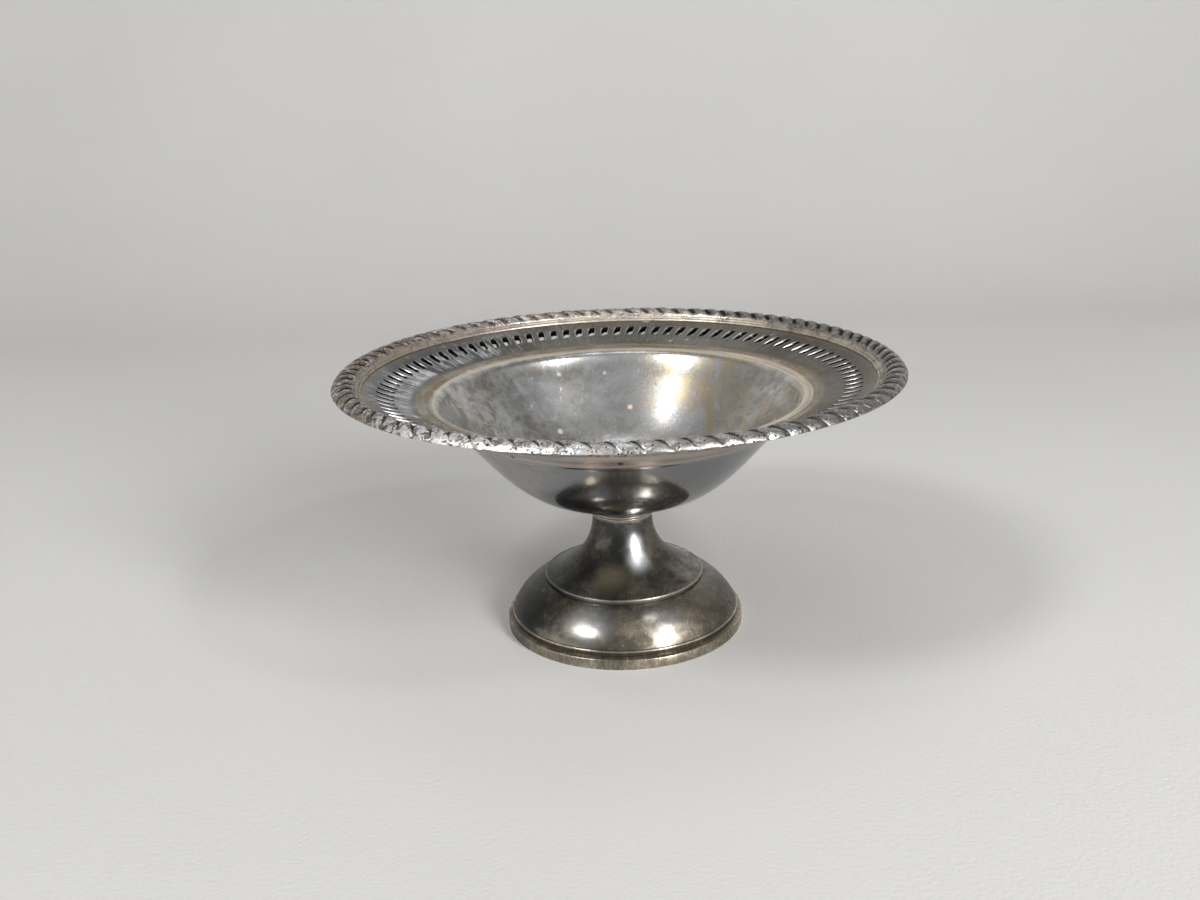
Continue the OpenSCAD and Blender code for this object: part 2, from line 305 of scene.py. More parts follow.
class Finish:
    """A material's nodes, and the patterns that its colours share"""

    def __init__(self, name):
        self.material = bpy.data.materials.new(name)
        self.material.use_nodes = True
        self.tree = self.material.node_tree
        self.shader = self.tree.nodes["Principled BSDF"]
        self.place = self.tree.nodes.new("ShaderNodeTexCoord").outputs["Object"]

    def add(self, kind, inputs, output=0, **settings):
        node = self.tree.nodes.new("ShaderNode" + kind)
        for key, value in settings.items():
            setattr(node, key, value)
        for key, value in inputs.items():
            if isinstance(value, bpy.types.NodeSocket):
                self.tree.links.new(value, node.inputs[key])
            else:
                node.inputs[key].default_value = value
        return node.outputs[output]

    def math(self, operation, a, b=0.0):
        return self.add("Math", {0: a, 1: b}, operation=operation)

    def times(self, a, b):
        return self.math("MULTIPLY", a, b)

    def plus(self, a, b):
        return self.math("ADD", a, b)

    def most(self, a, b):
        return self.math("MAXIMUM", a, b)

    def rest(self, share):
        """What a share leaves of one"""
        return self.math("SUBTRACT", 1.0, share)

    def added(self, a, b, share):
        """One value with a share of another on top"""
        return self.plus(a, self.times(b, share))

    def swing(self, noise, reach):
        """A noise made to swing about zero"""
        return self.times(self.math("SUBTRACT", noise, 0.5), reach)

    def fade(self, value, low, high, to_low=0.0, to_high=1.0):
        """A smooth step of value between low and high"""
        return self.add("MapRange", {0: value, 1: low, 2: high, 3: to_low, 4: to_high},
                        interpolation_type="SMOOTHSTEP")

    def eased(self, share, to_low, to_high):
        """A share turned into a smooth step between two values"""
        return self.fade(share, 0.0, 1.0, to_low, to_high)

    def blend(self, share, a, b):
        """A colour between two colours"""
        pair = {0: share}
        for index, value in ((6, a), (7, b)):
            pair[index] = value if isinstance(value, bpy.types.NodeSocket) else (*value, 1.0)
        return self.add("Mix", pair, output=2, data_type="RGBA")

    def between(self, share, a, b):
        """A value between two values"""
        return self.add("Mix", {0: share, 2: a, 3: b}, data_type="FLOAT")

    def stretched(self, scale, turn=(0.0, 0.0, 0.0), shift=(0.0, 0.0, 0.0)):
        return self.add("Mapping", {"Vector": self.place, "Location": shift, "Rotation": turn,
                                    "Scale": scale})

    def noise(self, scale, detail=3.0, rough=0.55, warp=0.0, source=None):
        return self.add("TexNoise", {"Vector": source or self.place, "Scale": scale, "Detail": detail,
                                     "Roughness": rough, "Distortion": warp})

    def locate(self):
        """Take a point's place apart: its sideways places, height, radius and turn round the axis"""
        self.x, self.y, self.height = self.add("SeparateXYZ", {0: self.place}).node.outputs
        self.radius = self.math("SQRT", self.plus(self.times(self.x, self.x), self.times(self.y, self.y)))
        self.turn = self.math("ARCTAN2", self.y, self.x)

    def mark(self, name):
        return self.add("Attribute", {}, output="Fac", attribute_name=name)

    def scratches(self, scale=1500.0, turns=(0.3, 1.15, 2.05, 2.8), stretch=0.03, cut=0.66):
        """Fine straight polishing scratches that cross each other"""
        total = None
        for i, turn in enumerate(turns):
            lines = self.noise(scale, 2.0, 0.5, source=self.stretched((1.0, stretch, 0.4), (0.0, 0.0, turn)))
            where = self.fade(self.noise(26.0 + 7.0 * i, 2.0), 0.42, 0.62)
            one = self.times(self.fade(lines, cut, cut + 0.07), where)
            total = one if total is None else self.most(total, one)
        return total

    def rings(self, scale=2600.0, run=0.0012):
        """Fine spinning lines round the axis"""
        along = self.add("CombineXYZ", {0: self.radius, 1: self.times(self.turn, run), 2: self.height})
        return self.noise(scale, 3.0, 0.6, source=along)

    def spots(self, scale, size, share, seed=0.0):
        """Sparse round spots with soft uneven edges"""
        moved = self.stretched((1.0, 1.0, 1.0), shift=(seed, 2 * seed, 0.0))
        cells = self.add("TexVoronoi", {"Vector": moved, "Scale": scale}, output="Distance")
        chance = self.add("SeparateColor", {"Color": cells.node.outputs["Color"]})
        edge = self.times(self.noise(scale * 6.0, 2.0), size * 0.5)
        near = self.fade(self.plus(cells, edge), size * 0.85, size * 1.35, 1.0, 0.0)
        return self.times(near, self.fade(chance, 1.0 - share, 1.0 - share + 0.05))

    def bump(self, height, distance, before=None, strength=1.0):
        inputs = {"Height": height, "Strength": strength, "Distance": distance}
        if before is not None:
            inputs["Normal"] = before
        return self.add("Bump", inputs)

    def close(self, colour, roughness, normal, metallic=1.0, glow=0.0):
        """Finish the material; glow is the share of wide, hazy reflection that lies round the sharp one"""
        links = self.tree.links
        links.new(colour, self.shader.inputs["Base Color"])
        links.new(roughness, self.shader.inputs["Roughness"])
        links.new(normal, self.shader.inputs["Normal"])
        self.shader.inputs["Metallic"].default_value = metallic
        if glow:
            haze = self.add("BsdfAnisotropic", {"Color": colour, "Roughness": HAZE_ROUGHNESS,
                                                "Normal": normal})
            both = self.add("MixShader", {0: glow, 1: self.shader.outputs[0], 2: haze})
            links.new(both, self.tree.nodes["Material Output"].inputs["Surface"])
        return self.material


# Zones of the bowl's finish by radius, in metres: between which two radii each one begins or ends
ROLLED_BEGIN = (0.0442, 0.0444)
LIP_BEGIN = (0.0493, 0.0500)
LIP_END = (0.0506, 0.0515)
SHOULDER_BEGIN = (0.0500, 0.0505)
SHOULDER_END = (0.0535, 0.0560)
FLANGE_BEGIN = (0.0536, 0.0552)
UNDER_FLANGE_BEGIN = (0.0540, 0.0570)
SMEAR_AND_SHEEN_BEGIN = (0.0548, 0.0570)
SMEAR_AND_SHEEN_END = (0.0600, 0.0655)
STAIN_BEGIN = (0.0655, 0.0685)


def well_colour(f, colours, film, murk):
    """Silver under a hazy film, yellow to the right and browner and darker to the left; that change from side
    to side is partly tarnish and partly painted reflection and shade
    """
    swirl = f.noise(48.0, 5.0, 0.6, 3.2, f.stretched((1.0, 0.45, 1.0), (0.0, 0.0, 0.6)))
    yellow = f.times(f.fade(f.added(swirl, f.mottle, 0.15), 0.44, 0.74), f.fade(f.x, -0.004, 0.022))
    # Browner and darker towards the left: partly brown tarnish, partly painted shade
    stained_and_shaded = f.times(f.fade(murk, 0.58, 1.08), f.fade(f.x, -0.026, 0.004, 1.0, 0.15))
    colour = f.blend(film, colours.silver, colours.haze)
    colour = f.blend(f.times(yellow, 0.9), colour, colours.straw)
    return f.blend(f.times(stained_and_shaded, 0.55), colour, colours.brown)


def flange_colour(f, colours):
    """Blue black at the left and brown at the right, with a pale smear and pale radial marks towards the
    left; these changes from side to side are partly tarnish and partly painted reflection and shade
    """
    # Partly painted shade: the flange is near black at the left
    colour = f.blend(f.fade(f.x, -0.05, -0.01), colours.night, colours.olive)
    hazy = f.fade(f.added(f.cloud, f.mottle, 0.5), 0.60, 0.95)
    colour = f.blend(f.times(hazy, 0.5), colour, colours.haze)
    colour = f.blend(f.fade(f.x, 0.020, 0.055, 0.0, 0.6), colour, colours.crust)
    outwards = f.add("CombineXYZ", {0: f.times(f.radius, 0.12), 1: f.times(f.turn, 0.06)})
    radial = f.noise(900.0, 3.0, 0.6, source=outwards)
    # Partly painted reflection: pale streaks and a pale smear, mostly at the left
    pale = f.times(f.fade(f.added(f.cloud, f.wisps, 0.5), 0.70, 0.86), f.fade(f.x, -0.062, -0.01, 1.0, 0.15))
    pale = f.times(pale, f.fade(f.added(radial, f.mottle, 0.6), 0.66, 0.92))
    smear_and_sheen = f.times(f.fade(f.radius, *SMEAR_AND_SHEEN_BEGIN), f.fade(f.radius, *SMEAR_AND_SHEEN_END, 1.0, 0.0))
    smear_and_sheen = f.times(smear_and_sheen, f.fade(f.x, -0.045, -0.02, 1.0, 0.1))
    smear_and_sheen = f.times(smear_and_sheen, f.fade(f.added(radial, f.wisps, 0.8), 0.80, 1.05))
    return f.blend(f.most(f.times(pale, 0.7), smear_and_sheen), colour, colours.silver)


def shoulder_colour(f, colours):
    """Brown tarnish with straw-coloured spinning lines"""
    lined = f.times(f.fade(f.streaks, 0.44, 0.66), f.fade(f.cloud, 0.35, 0.65, 0.35, 0.9))
    return f.blend(lined, colours.brown, colours.straw)


def well_lip(f):
    """Share of the pale lip round the well, wider at the back and the right, and how pale it is; the extra
    paleness at the back and the right is painted reflection
    """
    right = f.fade(f.x, 0.015, 0.042)
    outer = f.plus(f.radius, f.added(f.fade(f.y, 0.0, 0.04, 0.0, -0.0007), right, -0.0010))
    lip = f.times(f.fade(f.radius, *LIP_BEGIN), f.fade(outer, *LIP_END, 1.0, 0.0))
    # Painted reflection: the lip is paler at the back and the right
    place = f.most(f.fade(f.y, -0.02, 0.03, 0.45, 1.0), right)
    return lip, f.times(f.fade(f.streaks, 0.35, 0.65, 0.5, 1.0), place)


def underside_colour(f, colours):
    """Blue grey with a rosy spun edge and dark dots on it; hazy and flecked at the left, where the lighter
    colour is a painted reflection of the lit floor
    """
    # Painted reflection: the left part of the underside is lighter, as if it mirrored the lit floor
    light = f.fade(f.plus(f.x, f.swing(f.wisps, 0.022)), -0.021, -0.015, 1.0, 0.08)
    flecks = f.fade(f.noise(520.0, 4.0, 0.7), 0.60, 0.66, 0.0, 0.6)
    spun = f.blend(f.fade(f.streaks, 0.4, 0.6), colours.rose, colours.haze)
    dots = f.times(f.spots(270.0, 0.22, 0.42, 0.7), f.rolled)
    colour = f.blend(f.times(light, f.fade(f.mottle, 0.4, 0.6, 0.45, 1.0)), colours.shade, colours.haze)
    colour = f.blend(f.times(light, flecks), colour, colours.dark)
    colour = f.blend(f.times(f.rolled, 0.85), colour, spun)
    colour = f.blend(f.times(dots, 0.9), colour, colours.grime)
    return f.blend(f.times(f.fade(f.radius, *UNDER_FLANGE_BEGIN), 0.5), colour, colours.shade)


def bowl_silver(colours):
    """Old polished silver: hazy well, tarnished shoulder, dark flange and mirror-like underside"""
    f = Finish("bowl_silver")
    f.locate()
    f.wisps = f.noise(60.0, 7.0, 0.68, 1.6)
    f.mottle = f.noise(230.0, 6.0, 0.7, 0.5)
    f.cloud = f.noise(24.0, 3.0, 0.5)
    f.streaks = f.rings(1100.0, 0.002)
    f.rolled = f.fade(f.radius, *ROLLED_BEGIN)
    under, wear, grime = f.mark("under"), f.mark("wear"), f.mark("grime")
    murk = f.added(f.times(f.wisps, 0.7), f.mottle, 0.9)
    film = f.fade(murk, 0.50, 1.10)
    ragged = f.plus(f.radius, f.swing(f.cloud, 0.005))
    shoulder = f.times(f.fade(f.radius, *SHOULDER_BEGIN), f.fade(ragged, *SHOULDER_END, 1.0, 0.0))
    shoulder = f.times(shoulder, f.fade(f.wisps, 0.35, 0.6, 0.7, 1.0))
    lip, paleness = well_lip(f)
    spots = f.most(f.spots(90.0, 0.13, 0.60), f.spots(150.0, 0.15, 0.40, 0.31))

    colour = well_colour(f, colours, film, murk)
    colour = f.blend(f.fade(f.radius, *FLANGE_BEGIN), colour, flange_colour(f, colours))
    colour = f.blend(shoulder, colour, shoulder_colour(f, colours))
    # The pale lip is partly tan tarnish and partly painted reflection
    colour = f.blend(f.times(lip, paleness), colour, colours.lip)
    colour = f.blend(f.times(f.fade(ragged, *STAIN_BEGIN), 0.6), colour, colours.brown)
    colour = f.blend(f.times(spots, 0.75), colour, colours.bare)
    colour = f.blend(under, colour, underside_colour(f, colours))
    colour = f.blend(f.times(wear, 0.8), colour, colours.silver)
    # Grime and painted shade: near black in inside bends and on the slot walls
    colour = f.blend(grime, colour, colours.grime)

    marred = f.most(f.times(spots, 0.25), f.times(f.plus(f.scratches(), wear), 0.12))
    rough = f.plus(f.eased(film, 0.19, 0.30), marred)
    rough_under = f.added(f.fade(f.mottle, 0.3, 0.7, 0.05, 0.09), f.rolled, 0.16)
    rough = f.between(under, rough, rough_under)
    rough = f.added(rough, f.times(lip, f.rest(under)), 0.14)
    normal = f.bump(f.noise(22.0, 2.0, 0.4), 0.0016, strength=0.35)
    normal = f.bump(f.rings(), 0.000004, normal)
    normal = f.bump(spots, 0.00001, normal)
    return f.close(colour, rough, normal, glow=f.between(under, 0.25, 0.05))


# Zones of the border's finish: by radius, in metres, where its inner wall ends and its outer face begins, and
# by azimuth, in radians, where the scoured stretch at the front left, with its painted highlight, begins and
# ends
WALL_END = (0.0694, 0.0704)
FACE_BEGIN = (0.0722, 0.0740)
SCOUR_AND_HIGHLIGHT_BEGIN = (-2.65, -2.25)
SCOUR_AND_HIGHLIGHT_END = (-1.95, -1.50)


def border_metal(f, colours):
    """Hazy silver with rosy patches, dark between the crests and duller to the right; the dark between the
    crests and the duller right side are partly tarnish and partly painted shade
    """
    broad = f.noise(26.0, 2.0, 0.5)
    rubbed_and_lit = f.fade(f.plus(f.x, f.swing(broad, 0.05)), -0.01, 0.045, 1.0, 0.0)
    colour = f.blend(f.fade(f.added(f.patches, f.fine, 0.4), 0.52, 0.86), colours.silver, colours.haze)
    colour = f.blend(f.times(f.fade(f.patches, 0.45, 0.62), 0.55), colour, colours.rose)
    # Partly painted shade: dark flanks between bright crests
    colour = f.blend(f.times(f.rest(f.crest), f.eased(rubbed_and_lit, 0.95, 0.7)), colour, colours.dark)
    return f.blend(f.times(f.rest(rubbed_and_lit), 0.5), colour, colours.dark)


def border_tarnish(f, colours, colour):
    """Brown at the left, rosy there and at the back, with a tan inner wall and a dark crust"""
    left = f.fade(f.x, -0.065, -0.040, 1.0, 0.0)
    rosy = f.times(f.most(f.far, f.times(left, 0.2)), f.fade(f.patches, 0.35, 0.6, 0.35, 0.75))
    tan = f.times(f.fade(f.patches, 0.35, 0.6, 0.3, 1.0), f.fade(f.x, -0.06, -0.01, 0.25, 0.75))
    caked = f.times(f.times(f.crust, f.eased(f.wall, 1.0, 0.12)), f.eased(f.crest, 1.0, 0.6))
    colour = f.blend(f.times(left, 0.8), colour, colours.brown)
    colour = f.blend(rosy, colour, colours.rose)
    colour = f.blend(f.times(f.wall, tan), colour, colours.lip)
    return f.blend(caked, colour, colours.crust)


def border_scour_and_highlight(f):
    """Share of the scoured outer face at the front left, less where crust lies and where the grooves are
    darkened; its pale colour is partly a painted highlight
    """
    scoured_and_lit = f.times(f.fade(f.turn, *SCOUR_AND_HIGHLIGHT_BEGIN), f.fade(f.turn, *SCOUR_AND_HIGHLIGHT_END, 1.0, 0.15))
    scoured_and_lit = f.times(scoured_and_lit, f.fade(f.radius, *FACE_BEGIN, 0.35, 1.0))
    scoured_and_lit = f.times(scoured_and_lit, f.fade(f.added(f.crust, f.fine, 0.6), 0.36, 1.05, 1.0, 0.05))
    return f.times(scoured_and_lit, f.fade(f.dirt, 0.1, 0.9, 1.0, 0.15))


def border_silver(colours):
    """Worn silver: bright crests, dark pitted grooves and a scoured stretch at the front left; the bright
    crests and the pale scoured stretch are partly painted highlight, and the dark grooves partly painted
    shade
    """
    f = Finish("border_silver")
    f.locate()
    grime = f.mark("grime")
    f.patches = f.noise(160.0, 5.0, 0.65, 0.6)
    f.fine = f.noise(900.0, 4.0, 0.7)
    # Crests are less bright to the right: partly wear, partly painted shade
    ridge = f.plus(f.plus(f.mark("wear"), f.swing(f.fine, 0.7)), f.fade(f.x, 0.0, 0.04, 0.0, -0.3))
    f.crest = f.fade(ridge, 0.35, 0.85)
    f.wall = f.fade(f.radius, *WALL_END, 1.0, 0.0)
    f.far = f.times(f.fade(f.y, 0.01, 0.05), f.fade(f.x, 0.005, 0.035, 1.0, 0.15))
    crusty = f.fade(f.noise(470.0, 4.0, 0.7, 0.8), 0.48, 0.53)
    f.crust = f.times(crusty, f.fade(f.x, -0.055, 0.02, 1.0, 0.35))
    f.dirt = f.fade(f.plus(grime, f.swing(f.fine, 0.8)), 0.15, 0.9)
    flecks = f.times(f.fade(f.noise(560.0, 3.0, 0.6, 0.5), 0.56, 0.60), f.rest(f.dirt))
    flecks = f.times(flecks, f.rest(f.wall))
    scoured_and_lit = border_scour_and_highlight(f)
    pits = f.most(f.spots(620.0, 0.24, 0.40, 0.13), f.spots(1100.0, 0.30, 0.75, 0.57))
    pits = f.times(pits, f.eased(f.times(f.wall, f.fade(f.y, 0.0, 0.03)), 1.0, 0.2))

    colour = border_tarnish(f, colours, border_metal(f, colours))
    # Dirt and painted shade darken the grooves between the lobes
    colour = f.blend(f.times(f.dirt, f.eased(f.far, 1.0, 0.7)), colour, colours.grime)
    colour = f.blend(f.times(flecks, f.fade(f.x, -0.02, 0.03, 0.85, 0.3)), colour, colours.silver)
    # Partly painted highlight: pale colour on the scoured outer face at the front left
    colour = f.blend(f.times(scoured_and_lit, 0.9), colour, colours.bright)
    colour = f.blend(f.times(pits, f.eased(scoured_and_lit, 0.9, 0.5)), colour, colours.grime)

    rough = f.plus(f.times(scoured_and_lit, 0.10), f.fade(f.patches, 0.3, 0.7, 0.22, 0.36))
    rough = f.added(rough, f.most(pits, grime), 0.3)
    normal = f.bump(f.patches, 0.00012)
    normal = f.bump(f.rest(f.crust), 0.00005, normal)
    normal = f.bump(f.fine, 0.00004, normal)
    normal = f.bump(f.rest(pits), 0.00012, normal)
    return f.close(colour, rough, normal, glow=0.2)


# Zones of the foot's finish by height, in metres
BAND_END = (0.0024, 0.0030)
MOULDING_END = (0.0046, 0.0052)
TRUMPET_BEGIN = (0.0150, 0.0185)
DULL_BEGIN = (0.0165, 0.0190)
COLLAR_BEGIN = (0.0316, 0.0320)
# Painted highlights on the foot, and one painted warm reflection on the trumpet: lighter patches of colour,
# each with its place and reach in metres, strength and colour
FOOT_PAINTED_HIGHLIGHTS = (((-0.0095, -0.0252, 0.0105), 0.0090, 0.75, "silver"),
                ((0.0100, -0.0248, 0.0105), 0.0080, 0.70, "silver"),
                ((-0.0039, -0.0158, 0.0175), 0.0070, 0.80, "straw"),
                ((0.0034, -0.0090, 0.0258), 0.0036, 0.60, "silver"),
                ((0.0042, -0.0113, 0.0212), 0.0048, 0.75, "silver"))
# Share of a painted highlight's reach over which it is at full strength, and the share by which its edge
# wavers
HIGHLIGHT_CORE_SHARE = 0.15
HIGHLIGHT_EDGE_SHARE = 0.5


def foot_tarnish(f, colours):
    """Grey silver with nearly black tarnish on the trumpet, stronger on its left as painted shade; painted
    shade darkens both sides, and painted highlights and a painted warm reflection lighten five patches
    """
    grey = f.fade(f.added(f.times(f.cloud, 0.8), f.mottle, 0.8), 0.66, 1.0)
    # Nearly black tarnish on the trumpet, a little stronger on its left side, where the extra darkness is
    # painted shade
    trumpet = f.times(f.fade(f.height, *TRUMPET_BEGIN), f.fade(f.x, -0.001, 0.004, 1.0, 0.8))
    side = f.plus(f.x, f.swing(f.cloud, 0.024))
    colour = f.blend(grey, colours.dark, colours.warm)
    colour = f.blend(f.times(trumpet, f.fade(f.cloud, 0.3, 0.8, 0.95, 0.65)), colour, colours.soot)
    # Painted shade: the left and right sides of the foot are darkened to nearly black
    colour = f.blend(f.fade(side, -0.024, -0.004, 0.95, 0.0), colour, colours.soot)
    colour = f.blend(f.fade(side, 0.016, 0.032, 0.0, 0.85), colour, colours.soot)
    # Painted highlights: lighter patches of colour where light falls on the foot
    for place, reach, share, tone in FOOT_PAINTED_HIGHLIGHTS:
        away = f.add("VectorMath", {0: f.place, 1: place}, output=1, operation="DISTANCE")
        away = f.plus(away, f.swing(f.mottle, HIGHLIGHT_EDGE_SHARE * reach))
        patch = f.fade(away, HIGHLIGHT_CORE_SHARE * reach, reach, share, 0.0)
        colour = f.blend(patch, colour, getattr(colours, tone))
    return colour


def foot_silver(colours):
    """Dark spun silver of the collar and foot, with fine turned lines and a tool-marked base band"""
    f = Finish("foot_silver")
    f.locate()
    f.cloud = f.noise(48.0, 4.0, 0.6, 0.8)
    f.mottle = f.noise(340.0, 6.0, 0.7, 0.4)
    broad = f.noise(20.0, 2.0, 0.5)
    scratch = f.scratches(1700.0, (0.5, 1.4, 2.4), 0.04, 0.65)
    spots = f.spots(130.0, 0.10, 0.22, 0.43)
    band = f.fade(f.height, *BAND_END, 1.0, 0.0)
    moulding = f.fade(f.height, *MOULDING_END, 1.0, 0.0)
    along = f.add("CombineXYZ", {0: f.times(f.turn, 0.033), 1: f.times(f.height, 0.2)})
    tool_marks = f.noise(1500.0, 4.0, 0.65, source=along)
    marked = f.blend(f.fade(f.added(tool_marks, f.cloud, 0.5), 0.62, 0.92), colours.brown, colours.straw)

    colour = foot_tarnish(f, colours)
    colour = f.blend(f.times(f.fade(f.added(broad, f.mottle, 0.5), 0.66, 0.90), 0.6), colour, colours.brown)
    colour = f.blend(f.times(moulding, f.fade(f.cloud, 0.3, 0.6, 0.35, 0.75)), colour, marked)
    colour = f.blend(f.times(f.fade(f.height, *COLLAR_BEGIN), 0.6), colour, colours.straw)
    colour = f.blend(f.times(scratch, 0.12), colour, colours.silver)
    colour = f.blend(f.times(spots, 0.6), colour, colours.brown)
    colour = f.blend(f.times(f.mark("wear"), f.fade(f.cloud, 0.35, 0.6, 0.2, 0.6)), colour, colours.silver)
    # Grime and painted shade darken the cove and the inside bends
    colour = f.blend(f.fade(f.mark("grime"), 0.2, 1.0, 0.0, 0.8), colour, colours.grime)

    film = f.fade(f.plus(f.times(f.cloud, 0.7), f.mottle), 0.55, 1.15)
    rough = f.added(f.eased(film, 0.13, 0.30), f.most(spots, scratch), 0.10)
    rough = f.plus(rough, f.plus(f.times(band, 0.08), f.fade(f.height, *DULL_BEGIN, 0.0, 0.07)))
    normal = f.bump(f.noise(30.0, 2.0, 0.4), 0.0010, strength=0.3)
    normal = f.bump(f.rings(), 0.000008, normal)
    normal = f.bump(f.times(tool_marks, band), 0.00006, normal)
    return f.close(colour, rough, normal, glow=0.4)


def plain_metal(name, light, dark, rough, lines=2200.0):
    """A turned or drawn metal with fine lines, for the parts inside and underneath"""
    f = Finish(name)
    f.locate()
    rings = f.rings(lines)
    cloud = f.noise(90.0, 4.0, 0.6, 0.5)
    colour = f.blend(f.fade(f.added(cloud, rings, 0.4), 0.5, 0.85), light, dark)
    roughness = f.fade(cloud, 0.3, 0.7, rough, rough + 0.18)
    return f.close(colour, roughness, f.bump(rings, 0.00004))


def pitch_filling():
    """Cast pitch, dull black with a slight grain"""
    f = Finish("pitch_filling")
    grain = f.noise(900.0, 4.0, 0.6)
    lumps = f.noise(120.0, 3.0, 0.5)
    colour = f.blend(f.fade(lumps, 0.35, 0.7), (0.035, 0.028, 0.024), (0.085, 0.07, 0.06))
    normal = f.bump(f.added(grain, lumps, 3.0), 0.0003)
    return f.close(colour, f.fade(grain, 0.3, 0.7, 0.5, 0.75), normal, 0.0)


def stage_paper(colours):
    """Matt pale paper of the floor and backdrop"""
    f = Finish("stage_paper")
    grain = f.noise(900.0, 3.0, 0.6)
    low = tuple(0.97 * c for c in colours.floor)
    colour = f.blend(f.fade(f.noise(6.0, 3.0, 0.5), 0.3, 0.7), low, colours.floor)
    return f.close(colour, f.fade(grain, 0.3, 0.7, 0.75, 0.9), f.bump(grain, 0.00015), 0.0)


# Shapes of the bowl and border, in millimetres

class Measures:
    """The scene's sizes in millimetres, with what follows from them"""

    def __init__(self, sizes):
        for name in ("foot_height", "bowl_seat", "base_radius", "collar_radius", "rim_radius", "neck_radius",
                     "ridge_radius", "ridge_height", "dome_radius", "dome_height", "band_height",
                     "well_radius", "well_height", "sheet", "slot_radius", "slot_length", "slot_width",
                     "lobe_radius", "lobe_depth"):
            setattr(self, name, getattr(sizes, name) / MM)
        self.rise = math.tan(sizes.flange_angle)
        self.lean = math.tan(sizes.lobe_slant)
        self.slot_count, self.lobe_count = sizes.slot_count, sizes.lobe_count
        self.well_top = (self.well_radius, self.bowl_seat + self.well_height)
        self.flange_start = (self.well_radius + SHOULDER_WIDTH, self.well_top[1] + SHOULDER_RISE)
        self.flange_edge = self.rim_radius - LIP_WIDTH
        self.flange_sheet = self.sheet / math.cos(sizes.flange_angle)

    def flange_low(self, r):
        return self.flange_start[1] + (r - self.flange_start[0]) * self.rise

    def flange_top(self, r):
        return self.flange_low(r) + self.flange_sheet


# Radius of the sheet's flat seat, width and rise of its shoulder, and width of the lip over its edge
SEAT_RADIUS = 9.0
SHOULDER_WIDTH = 3.0
SHOULDER_RISE = 0.65
LIP_WIDTH = 1.3
# Places of rings on the flat seat, and curves of the well and shoulder, as shares
SEAT_SHARES = (0.3, 0.6, 0.85)
WELL_LOW = ((0, 0), (0.405, 0), (0.571, 0.379), (0.833, 0.792))
WELL_HIGH = ((0.833, 0.792), (0.872, 0.853), (0.921, 0.914), (0.945, 0.975))
WELL_EDGE = ((0.945, 0.975), (0.955, 1.0), (0.970, 1.0), (1, 1))
SHOULDER = ((0, 0), (0.3, 0.6), (0.6, 1), (1, 1))
# Steps along the well's lower curve, its upper curves and the shoulder, inside and underneath, and then
# from the shoulder to the slots and from the slots to the edge
INSIDE_STEPS = (44, 40, 14)
UNDER_STEPS = (70, 24, 12)
INNER_STEPS = 8
OUTER_STEPS = 10
# Pressed edges round each slot: share of the way from the slot to its cell's edge, then how far the upper
# face and the underside lie below the sheet, wear, which on the rims is partly a painted glint, and grime,
# which on the slot walls is painted shade that darkens the openings
SLOT_EDGES = ((0.0, 0.26, 0.80, 0.0, 1.0), (0.045, 0.16, 0.76, 0.6, 0.3), (0.095, 0.03, 0.66, 1.0, 0.0),
              (0.15, -0.04, 0.46, 1.0, 0.0), (0.22, -0.045, 0.18, 0.6, 0.0), (0.36, -0.015, 0.02, 0.0, 0.2),
              (0.68, 0.0, 0.0, 0.0, 0.1), (1.0, 0.0, 0.0, 0.0, 0.15))
# Half the width of the band that the slots' cells fill, and the steps across and along a cell
SLOT_BAND = 3.9
CELL_STEPS = 4
SIDE_STEPS = 10
# Sideways reach of a slot's ends, the shares of it that run straight and that bend, the share of the slot's
# length before its rounded ends, and the share of its width that the ends keep
SLOT_SWEEP = 1.0
SWEEP_SHARES = (0.45, 0.55)
SLOT_STRAIGHT = 0.9
END_WIDTH_SHARE = 0.5
# Share of the way to the cell's edge that grime and painted shade reach at a slot's ends
SLOT_END_DARKENING_SHARE = 0.12
# Rounding of the well's wall: depth on the inside and underneath, and the radii between which it is deeper
WELL_ROUND = (1.3, 0.7, 20.0, 49.6)
# Thin lines on the sheet: radius, half width, height, wear, and grime with painted shade, on the inside and
# on the underside
INSIDE_LINE = (50.3, 0.45, 0.17, 0.3, 0.0)
UNDER_LINE = (44.3, 0.25, 0.10, 0.5, 0.35)
# Foot of the border: inset from the rim, lift over the flange, wear, and grime with painted shade
BORDER_FOOT = ((7.90, 0.03, 0.0, 0.8), (7.80, 0.36, 0.6, 0.1), (7.62, 0.50, 1.0, 0.0), (7.42, 0.46, 0.8, 0.0),
               (7.28, 0.40, 0.1, 0.5), (7.12, 0.48, 0.2, 0.3), (6.92, 0.72, 0.6, 0.0), (6.78, 0.86, 0.6, 0.0))
# Height of the lobes' tops over the flange under their middle
LOBE_RISE = 1.97
# Slope of the border's foot and lip, in degrees from its top, for the slant of the lobes
FOOT_LEAN = -77.0
CORNER_LEAN = 69.0
LIP_LEAN = 71.0
# Rounded section of the lobes, in degrees, with its steps; where the grooves start and over how many
# degrees they deepen
LOBE_ARC = (158.0, 24.0)
LOBE_ARC_STEPS = 28
GROOVE_START = 147.0
GROOVE_EASE = 20.0
# Corner of the border's lip: insets of its ends from the rim, and its lift; and the gap to the flange's edge
CORNER_INSETS = (0.24, 0.40)
CORNER_LIFT = 0.10
BORDER_GAP = 0.1
# Azimuth in degrees of the border's most worn stretch, at the front left, and its reach in radians
WORN_TURN = 248.0
WORN_REACH = 0.75
# Places across one lobe, closer together by its grooves
LOBE_STEPS = (0.0, 0.035, 0.09, 0.17, 0.27, 0.38, 0.5, 0.62, 0.73, 0.83, 0.91, 0.965)
# Chance in the lobes: seed, sideways shift as a share of a lobe, and least and greatest height as shares
LOBE_SEED = 11
LOBE_SHIFT_SHARE = 0.05
LOBE_HEIGHT_SHARES = (0.82, 1.12)
